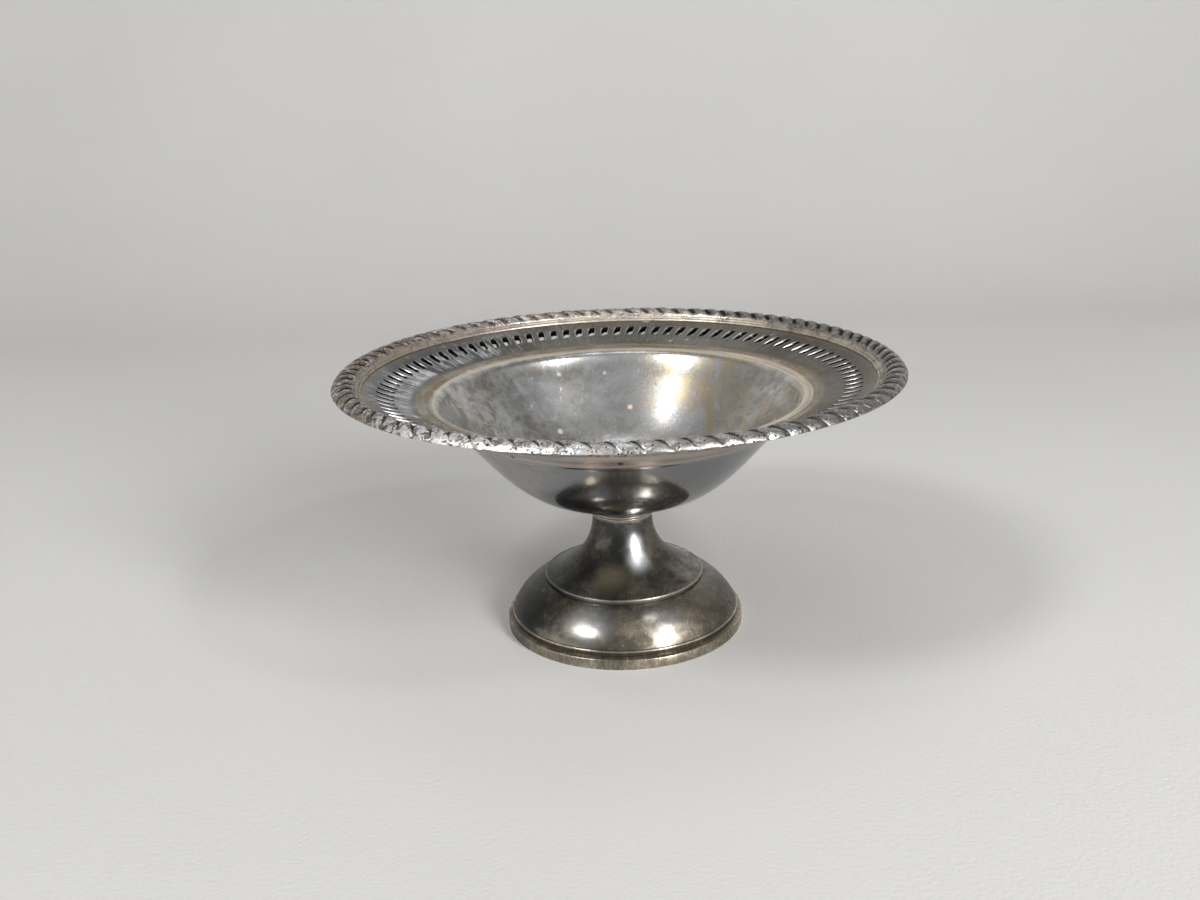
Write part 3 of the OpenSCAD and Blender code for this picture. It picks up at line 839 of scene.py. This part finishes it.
# Sideways shift and height of the narrow lobe at the back, as shares
NARROW_SHIFT_SHARE = 0.22
NARROW_HEIGHT_SHARE = 0.7
# Grooves: how far their section is softened on the inner side, the lean in degrees of the outer face, the
# shares of depth lost there where least and most worn, the share kept all over where most worn, and how much
# a low lobe is cut down
SOFT_SHARE = 0.6
FACE_LEAN = 60.0
FACE_LOSS_SHARES = (0.55, 0.97)
WORN_DEPTH_SHARE = 0.8
LOW_LOBE_SHARE = 0.35
# Change of a groove's section from soft to round: its rate for each radian of lean, and its share at the top
ROUND_RATE = 1.2
ROUND_AT_TOP = 0.2
# Bend of the slant over the section, and how wear leaves and grime with painted shade fills the grooves
SLANT_BEND = 1.1
WEAR_POWER = 1.3
GROOVE_DARKENING_START = 0.2
GROOVE_DARKENING_SPAN = 0.35
# Foot, in millimetres: width of the ridge, drop from it to the dome, roundings of the band and at the table
RIDGE_WIDTH = 0.7
RIDGE_DROP = 1.0
BAND_INSET = 0.06
BAND_LIFT = 0.04
TABLE_CORNER = 0.08
# Depth of the cove below the dome, in beads
COVE_BEADS = 2.5
# Arcs of the ridge and the bead, in degrees with their steps; steps of the trumpet, the dome and their lining
RIDGE_ARC = (120, -20, 12)
BEAD_ARC = (80, -70, 10)
TRUMPET_STEPS = 48
DOME_STEPS = 40
LINING_STEPS = 20
# Radius of the collar's bore, and points round the foot and the collar
COLLAR_BORE = 6.9
FOOT_COLUMNS = 288
COLLAR_COLUMNS = 192
# Curves of the trumpet and dome, and the collar's profile, as shares
TRUMPET = ((0, 1), (0.008, 0.57), (0.27, 0.235), (1, 0.022))
DOME = ((0, 1), (0.33, 0.9), (0.82, 0.48), (1, 0))
COLLAR = ((0.955, 0), (0.975, 0.05), (0.975, 0.12), (0.96, 0.15), (0.985, 0.18), (0.995, 0.24), (0.985, 0.3),
          (0.94, 0.34), (0.925, 0.38), (0.94, 0.42), (0.965, 0.47), (0.99, 0.54), (1, 0.61), (0.995, 0.68),
          (0.975, 0.74), (0.95, 0.78), (0.95, 1))


def bowl_line(m, shift, steps):
    """Outline of one face of the sheet, from the axis to the start of the flange"""
    low, high = (SEAT_RADIUS, m.bowl_seat), m.well_top
    line = [(0.0, m.bowl_seat + shift)]
    line += [(SEAT_RADIUS * s, m.bowl_seat + shift) for s in SEAT_SHARES]
    line += curve(placed(WELL_LOW, low, high), steps[0], shift)
    line += curve(placed(WELL_HIGH, low, high), steps[1] * 2 // 3, shift)[1:]
    line += curve(placed(WELL_EDGE, low, high), steps[1] // 3, shift)[1:]
    line += curve(placed(SHOULDER, m.well_top, m.flange_start), steps[2], shift)[1:]
    inside, underneath, start, end = WELL_ROUND
    deep = inside if shift else underneath
    return [(r, z - 4 * deep * max(0.0, (r - start) * (end - r)) / (end - start) ** 2) for r, z in line]


def slot_outline(m):
    """One slot's outline, sideways and outwards from its middle, in the order of its cell's edge"""
    straight, bent = SWEEP_SHARES

    def side(u, way):
        middle = -SLOT_SWEEP * (straight * u + bent * u ** 3)
        return middle + way * m.slot_width / 2 * mix(1.0, END_WIDTH_SHARE, u ** 4), u * m.slot_length / 2

    points = []
    for way in (-1, 1):
        start, end = side(SLOT_STRAIGHT * way, way), side(SLOT_STRAIGHT * way, -way)
        for i in range(CELL_STEPS):
            a = math.pi * i / CELL_STEPS
            out = way * (1 - SLOT_STRAIGHT) * m.slot_length / 2 * math.sin(a)
            points.append((mix(start[0], end[0], (1 - math.cos(a)) / 2), start[1] + out))
        points += [side(SLOT_STRAIGHT * way * (1 - 2 * i / SIDE_STEPS), -way) for i in range(SIDE_STEPS)]
    return points


def cell_outline():
    """Points round one slot's cell, as shares of its width and of its reach outwards"""
    points = []
    for way in (-1, 1):
        points += [(way * (0.5 - i / CELL_STEPS), way) for i in range(CELL_STEPS)]
        points += [(-way * 0.5, way * (1 - 2 * i / SIDE_STEPS)) for i in range(SIDE_STEPS)]
    return points


def spaced(start, end, steps):
    return [mix(start, end, i / steps) for i in range(steps + 1)]


def sheet_face(shell, m, under):
    """One face of the sheet on both sides of the band of slots; gives back its outermost ring"""
    surface = m.flange_low if under else m.flange_top
    columns = m.slot_count * CELL_STEPS
    line = bowl_line(m, 0.0 if under else m.sheet, UNDER_STEPS if under else INSIDE_STEPS)
    line += [(r, surface(r)) for r in spaced(m.flange_start[0], m.slot_radius - SLOT_BAND, INNER_STEPS)[1:]]
    line_r, half, tall, wear, grime = UNDER_LINE if under else INSIDE_LINE
    inner = []
    for r, z in line:
        rise = math.exp(-((r - line_r) / half) ** 2)
        inner.append(shell.ring(r, z + tall * rise * (-1 if under else 1), columns, under=under,
                                wear=wear * rise, grime=grime * rise))
    outer = [shell.ring(r, surface(r), columns, under=under)
             for r in spaced(m.slot_radius + SLOT_BAND, m.flange_edge, OUTER_STEPS)]
    for rings in (inner, outer):
        for a, b in zip(rings, rings[1:]):
            shell.bridge(a, b)
    return outer[-1]


def slot_mouths(shell, m, under):
    """The band of slots with their pressed edges on one face; gives back the loop round each opening"""
    surface = m.flange_low if under else m.flange_top
    pitch = math.tau / m.slot_count
    slot = [(s / m.slot_radius, m.slot_radius + u) for s, u in slot_outline(m)]
    cell = [(s * pitch, m.slot_radius + u * SLOT_BAND) for s, u in cell_outline()]
    mouths = []
    for c in range(m.slot_count):
        loops = []
        # Slot walls are darkened as painted shade, and the pressed rims carry silver wear that is partly a
        # painted glint
        for share, drop, drop_under, wear, grime in SLOT_EDGES:
            loop = []
            for i, ((ta, ra), (tb, rb)) in enumerate(zip(slot, cell)):
                r = mix(ra, rb, share)
                along = i % (CELL_STEPS + SIDE_STEPS) - CELL_STEPS
                flank = clamp(min(along + 1, SIDE_STEPS - along) / 2)
                slot_end_darkening = clamp(1 - share / SLOT_END_DARKENING_SHARE) * (1 - flank)
                loop.append(shell.point(r, c * pitch + mix(ta, tb, share),
                                        surface(r) - (drop_under if under else drop * flank), under=under,
                                        wear=0.0 if under else wear * flank, grime=max(grime, slot_end_darkening)))
            loops.append(loop)
        for a, b in zip(loops, loops[1:]):
            shell.bridge(a, b)
        mouths.append(loops[0])
    return mouths


def bowl_shell(m):
    """Well, rolled shoulder and pierced flange as one closed sheet"""
    shell = Shell()
    edges, mouths = [], []
    for under in (0, 1):
        edges.append(sheet_face(shell, m, under))
        mouths.append(slot_mouths(shell, m, under))
    shell.bridge(*edges)
    for a, b in zip(*mouths):
        shell.bridge(a, b)
    return shell


def border_line(m):
    """Cross-section of the border: radius, height, groove, lean, wear and grime; and its lobes' centre"""
    line = [(m.rim_radius - inset, m.flange_top(m.rim_radius - inset) + lift, 0.0, math.radians(FOOT_LEAN),
             wear, grime) for inset, lift, wear, grime in BORDER_FOOT]
    centre_r = m.rim_radius - m.lobe_radius
    centre = (centre_r, m.flange_top(centre_r) + LOBE_RISE - m.lobe_radius)
    for degrees in spaced(*LOBE_ARC, LOBE_ARC_STEPS):
        a = math.radians(degrees)
        run = clamp((GROOVE_START - degrees) / GROOVE_EASE)
        line.append((centre[0] + m.lobe_radius * math.cos(a), centre[1] + m.lobe_radius * math.sin(a), run,
                     math.pi / 2 - a, 1.0 if run else 0.6, 0.0))
    lip = m.flange_low(m.flange_edge)
    seat = m.flange_edge + BORDER_GAP
    corner, end = (m.rim_radius - inset for inset in CORNER_INSETS)
    line.append((corner, lip + CORNER_LIFT, 0.25, math.radians(CORNER_LEAN), 0.6, 0.0))
    for r, z, wear, grime in ((end, lip, 0.2, 0.3), (seat, lip, 0.0, 0.9),
                              (seat, m.flange_top(seat) + BORDER_GAP / 2, 0.0, 1.0)):
        line.append((r, z, 0.0, math.radians(LIP_LEAN), wear, grime))
    return line, centre


def lobe_places(m):
    """Where each lobe starts, closed by the first again, and each one's height"""
    chance = random.Random(LOBE_SEED)
    pitch = math.tau / m.lobe_count
    narrow = m.lobe_count // 4 + 1
    starts, heights = [], []
    for i in range(m.lobe_count):
        shift = chance.uniform(-LOBE_SHIFT_SHARE, LOBE_SHIFT_SHARE)
        starts.append(pitch * (i + shift + (NARROW_SHIFT_SHARE if i == narrow else 0.0)))
        heights.append(chance.uniform(*LOBE_HEIGHT_SHARES) * (NARROW_HEIGHT_SHARE if i == narrow else 1.0))
    return starts + [starts[0] + math.tau], heights


def border_column(shell, m, line, centre, base_turn, across, height):
    """The border's cross-section at one place across a lobe, from -1 in one groove to 1 in the next"""
    twist = m.lobe_radius * m.lean / centre[0]
    worn = math.exp(-((base_turn - math.radians(WORN_TURN)) / WORN_REACH) ** 2)
    round_fall = 1 - math.sqrt(max(0.0, 1 - across * across))
    soft_fall = mix(round_fall, across * across, SOFT_SHARE)
    column = []
    for r, z, run, lean, wear, grime in line:
        outer = clamp(lean / math.radians(FACE_LEAN))
        fall = mix(soft_fall, round_fall, clamp(ROUND_RATE * lean + ROUND_AT_TOP))
        fade = 1.0 - outer * mix(*FACE_LOSS_SHARES, worn)
        depth = (m.lobe_depth * run * fade * mix(1.0, WORN_DEPTH_SHARE, worn)
                 * (fall + LOW_LOBE_SHARE * (1 - height)))
        fall *= fade
        reach = math.hypot(centre[0] - r, centre[1] - z)
        cut_r = r + depth * (centre[0] - r) / reach
        cut_z = z + depth * (centre[1] - z) / reach
        turn = base_turn + twist * SLANT_BEND * math.sin(SLANT_BEND * lean)
        column.append(shell.point(cut_r, turn, cut_z, wear=wear * (1 - run * fall) ** WEAR_POWER,
                                  grime=clamp(grime + run * clamp((fall - GROOVE_DARKENING_START) / GROOVE_DARKENING_SPAN))))
    return column


def border_shell(m):
    """Inner bead and slanted rounded lobes as one closed ring"""
    shell = Shell()
    line, centre = border_line(m)
    starts, heights = lobe_places(m)
    columns = []
    for i in range(m.lobe_count):
        for share in LOBE_STEPS:
            base_turn = mix(starts[i], starts[i + 1], share)
            columns.append(border_column(shell, m, line, centre, base_turn, 2 * share - 1, heights[i]))
    for a, b in zip(columns, columns[1:] + columns[:1]):
        shell.bridge(a, b)
    return shell


def foot_shell(m):
    """Trumpet, ridge, dome and base mouldings as one turned sheet"""
    bead, crest = (m.base_radius - m.dome_radius) / 4, RIDGE_WIDTH / 2
    trumpet = placed(TRUMPET, (m.neck_radius, m.ridge_height), (m.ridge_radius - RIDGE_WIDTH, m.foot_height))
    dome = placed(DOME, (m.ridge_radius, m.dome_height), (m.dome_radius, m.ridge_height - RIDGE_DROP))
    cove = m.dome_height - COVE_BEADS * bead
    outline = curve(trumpet, TRUMPET_STEPS)
    outline += arc((m.ridge_radius - crest, m.ridge_height), crest, *RIDGE_ARC)
    outline += curve(dome, DOME_STEPS)
    outline += arc((m.dome_radius, m.dome_height - bead), bead, *BEAD_ARC)
    outline += [(m.dome_radius + bead / 2, cove - bead), (m.base_radius - bead, m.band_height + bead / 2),
                (m.base_radius - bead / 2, m.band_height + bead / 3),
                (m.base_radius - BAND_INSET, m.band_height + BAND_LIFT),
                (m.base_radius, m.band_height - BAND_INSET), (m.base_radius, TABLE_CORNER),
                (m.base_radius - TABLE_CORNER, 0.0), (m.base_radius - m.sheet, 0.0)]
    lining = curve(trumpet, LINING_STEPS, -m.sheet) + curve(dome, LINING_STEPS, -m.sheet)
    lining += [(m.base_radius - m.sheet - bead, m.band_height - m.sheet),
               (m.base_radius - m.sheet, m.band_height - m.sheet - bead)]
    return turned(outline + lining[::-1], FOOT_COLUMNS)


def collar_shell(m):
    """Turned ring with two beads and a groove"""
    tall = m.bowl_seat - m.foot_height
    outline = [(r * m.collar_radius, m.foot_height + z * tall) for r, z in smooth_through(COLLAR, 5)]
    return turned(outline + [(COLLAR_BORE, m.bowl_seat), (COLLAR_BORE, m.foot_height)], COLLAR_COLUMNS)


# Stage, in metres

# Floor and backdrop: where the floor begins, where the backdrop stands, its height, the radius of the bend
# between them with its steps, and half the width of both
FLOOR_FRONT = -1.6
BACKDROP = 0.75
BACKDROP_HEIGHT = 1.5
BEND_RADIUS = 0.35
BEND_STEPS = 16
HALF_WIDTH = 2.0
# Lamps: name, direction from the object, the setting that holds the power, width and height
LAMPS = (("left_lamp", (-0.52, -0.44, 0.74), "left", 0.26, 0.26),
         ("right_lamp", (0.57, -0.61, 0.50), "right", 0.22, 0.46),
         ("side_lamp", (-0.46, -0.24, 0.86), "side", 0.17, 0.15),
         ("top_lamp", (0.53, -0.40, 0.74), "top", 0.13, 0.13),
         ("low_lamp", (-0.92, -0.34, 0.22), "low", 1.40, 0.40),
         ("tall_lamp", (0.57, -0.72, 0.34), "tall", 0.28, 0.95),
         ("roof_lamp", (0.0, 0.12, 0.99), "roof", 0.70, 0.50))
LAMP_DISTANCE = 1.2
LAMP_TARGET = Vector((0.0, 0.0, 0.045))
# Room light: colour, shares of its strength at the level of the table and overhead, and how high up the
# second one is reached
ROOM_COLOUR = (1.0, 0.99, 0.97, 1.0)
ROOM_SHARES = (1.25, 0.6)
ROOM_TOP = 0.9
# Width of the camera's sensor, in millimetres
SENSOR_WIDTH = 36.0


def studio_sweep(scene):
    """Floor that bends up into the backdrop"""
    side = [(FLOOR_FRONT, 0.0)]
    side += [(BACKDROP - BEND_RADIUS + BEND_RADIUS * math.sin(a), BEND_RADIUS - BEND_RADIUS * math.cos(a))
             for a in spaced(0.0, math.pi / 2, BEND_STEPS)]
    side.append((BACKDROP, BACKDROP_HEIGHT))
    mesh = bmesh.new()
    rows = [[mesh.verts.new((x, y, z)) for x in (-HALF_WIDTH, HALF_WIDTH)] for y, z in side]
    for a, b in zip(rows, rows[1:]):
        mesh.faces.new((a[0], a[1], b[1], b[0])).smooth = True
    data = bpy.data.meshes.new("studio_sweep")
    mesh.to_mesh(data)
    mesh.free()
    data.materials.append(stage_paper(scene.compote_colours))
    sweep = bpy.data.objects.new("studio_sweep", data)
    scene.collection.objects.link(sweep)


def studio_lamps(scene):
    """Soft lamps round the object, turned towards it"""
    for name, way, setting, wide, tall in LAMPS:
        lamp = bpy.data.lights.new(name, "AREA")
        lamp.shape = "ELLIPSE"
        lamp.energy = getattr(scene.compote_studio, setting)
        lamp.size = wide
        lamp.size_y = tall
        obj = bpy.data.objects.new(name, lamp)
        obj.location = LAMP_DISTANCE * Vector(way).normalized()
        obj.rotation_euler = (obj.location - LAMP_TARGET).to_track_quat("Z", "Y").to_euler()
        scene.collection.objects.link(obj)


def studio_room(scene):
    """Light of the room, brighter at the level of the table than overhead"""
    world = bpy.data.worlds.new("studio_room")
    world.use_nodes = True
    tree = world.node_tree
    place = tree.nodes.new("ShaderNodeTexCoord")
    parts = tree.nodes.new("ShaderNodeSeparateXYZ")
    fade = tree.nodes.new("ShaderNodeMapRange")
    level, overhead = (share * scene.compote_studio.sky for share in ROOM_SHARES)
    for index, value in ((1, 0.0), (2, ROOM_TOP), (3, level), (4, overhead)):
        fade.inputs[index].default_value = value
    tree.links.new(place.outputs["Generated"], parts.inputs[0])
    tree.links.new(parts.outputs[2], fade.inputs[0])
    room = tree.nodes["Background"]
    room.inputs["Color"].default_value = ROOM_COLOUR
    tree.links.new(fade.outputs[0], room.inputs["Strength"])
    scene.world = world


def studio_camera(scene):
    """The scene's camera, in front of the object and turned by its three angles"""
    studio = scene.compote_studio
    ahead = Vector((math.sin(studio.yaw) * math.cos(studio.pitch),
                    math.cos(studio.yaw) * math.cos(studio.pitch), -math.sin(studio.pitch)))
    right = ahead.cross(Vector((0.0, 0.0, 1.0))).normalized()
    up = right.cross(ahead)
    level_right = right * math.cos(studio.roll) + up * math.sin(studio.roll)
    level_up = up * math.cos(studio.roll) - right * math.sin(studio.roll)
    lens = bpy.data.cameras.new("studio_camera")
    lens.sensor_width = SENSOR_WIDTH
    lens.lens = studio.focal
    camera = bpy.data.objects.new("studio_camera", lens)
    turned_axes = Matrix((level_right, level_up, -ahead)).transposed().to_4x4()
    camera.matrix_world = Matrix.Translation((0.0, -studio.distance, studio.height)) @ turned_axes
    scene.collection.objects.link(camera)
    scene.camera = camera


# Operators

def scene_sizes(context):
    return Measures(context.scene.compote_sizes)


def coat(node, material):
    """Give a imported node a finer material"""
    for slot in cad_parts[node].material_slots:
        slot.material = material


class COMPOTE_OT_bowl(Operator):
    """Build the spun bowl with its pierced flange"""
    bl_idname = "compote.bowl"
    bl_label = "Bowl"

    def execute(self, context):
        material = bowl_silver(context.scene.compote_colours)
        bowl_shell(scene_sizes(context)).piece("spun_bowl", "silver_bowl", material, ["bowl"], 40.0)
        return {"FINISHED"}


class COMPOTE_OT_border(Operator):
    """Build the lobed border"""
    bl_idname = "compote.border"
    bl_label = "Border"

    def execute(self, context):
        material = border_silver(context.scene.compote_colours)
        border_shell(scene_sizes(context)).piece("lobed_border", "silver_border", material,
                                                 ["gadroon_border"], 60.0)
        return {"FINISHED"}


class COMPOTE_OT_foot(Operator):
    """Build the trumpet foot and the collar above it"""
    bl_idname = "compote.foot"
    bl_label = "Foot and collar"

    def execute(self, context):
        m = scene_sizes(context)
        material = foot_silver(context.scene.compote_colours)
        foot_shell(m).piece("trumpet_foot", "silver_foot", material, ["foot_shell"])
        collar_shell(m).piece("turned_collar", "silver_foot", material, ["neck_collar"])
        return {"FINISHED"}


class COMPOTE_OT_inside(Operator):
    """Finish the parts inside the stem and under the base"""
    bl_idname = "compote.inside"
    bl_label = "Boss, rod, filling and base disc"

    def execute(self, context):
        coat("bowl_boss", plain_metal("turned_brass", (0.62, 0.50, 0.27), (0.42, 0.32, 0.16), 0.28))
        coat("stem_rod", plain_metal("drawn_steel", (0.46, 0.46, 0.47), (0.30, 0.29, 0.28), 0.30))
        coat("base_plate", plain_metal("base_sheet", (0.56, 0.54, 0.50), (0.38, 0.35, 0.31), 0.34, 900.0))
        coat("weight_fill", pitch_filling())
        return {"FINISHED"}


class COMPOTE_OT_studio(Operator):
    """Set up the floor, the room light, the lamps and the camera"""
    bl_idname = "compote.studio"
    bl_label = "Studio"

    def execute(self, context):
        scene = context.scene
        studio_sweep(scene)
        studio_lamps(scene)
        studio_room(scene)
        studio_camera(scene)
        scene.view_settings.view_transform = "Standard"
        return {"FINISHED"}


class COMPOTE_PT_pieces(Panel):
    """Sizes, colours and build steps of the compote"""
    bl_idname = "COMPOTE_PT_pieces"
    bl_label = "Footed compote"
    bl_space_type = "VIEW_3D"
    bl_region_type = "UI"
    bl_category = "Compote"

    def draw(self, context):
        scene = context.scene
        for group in (scene.compote_sizes, scene.compote_colours, scene.compote_studio):
            box = self.layout.box()
            for name in group.__annotations__:
                box.prop(group, name)
        for step in STEPS:
            self.layout.operator(step.bl_idname)


STEPS = (COMPOTE_OT_studio, COMPOTE_OT_bowl, COMPOTE_OT_border, COMPOTE_OT_foot, COMPOTE_OT_inside)
CLASSES = (CompoteSizes, CompoteColours, StudioSettings) + STEPS + (COMPOTE_PT_pieces,)


def register():
    for cls in CLASSES:
        bpy.utils.register_class(cls)
    bpy.types.Scene.compote_sizes = PointerProperty(type=CompoteSizes)
    bpy.types.Scene.compote_colours = PointerProperty(type=CompoteColours)
    bpy.types.Scene.compote_studio = PointerProperty(type=StudioSettings)


def unregister():
    for name in ("compote_studio", "compote_colours", "compote_sizes"):
        delattr(bpy.types.Scene, name)
    for cls in reversed(CLASSES):
        bpy.utils.unregister_class(cls)


def main():
    register()
    bpy.ops.compote.studio()
    bpy.ops.compote.bowl()
    bpy.ops.compote.border()
    bpy.ops.compote.foot()
    bpy.ops.compote.inside()


if __name__ == "__main__":
    main()
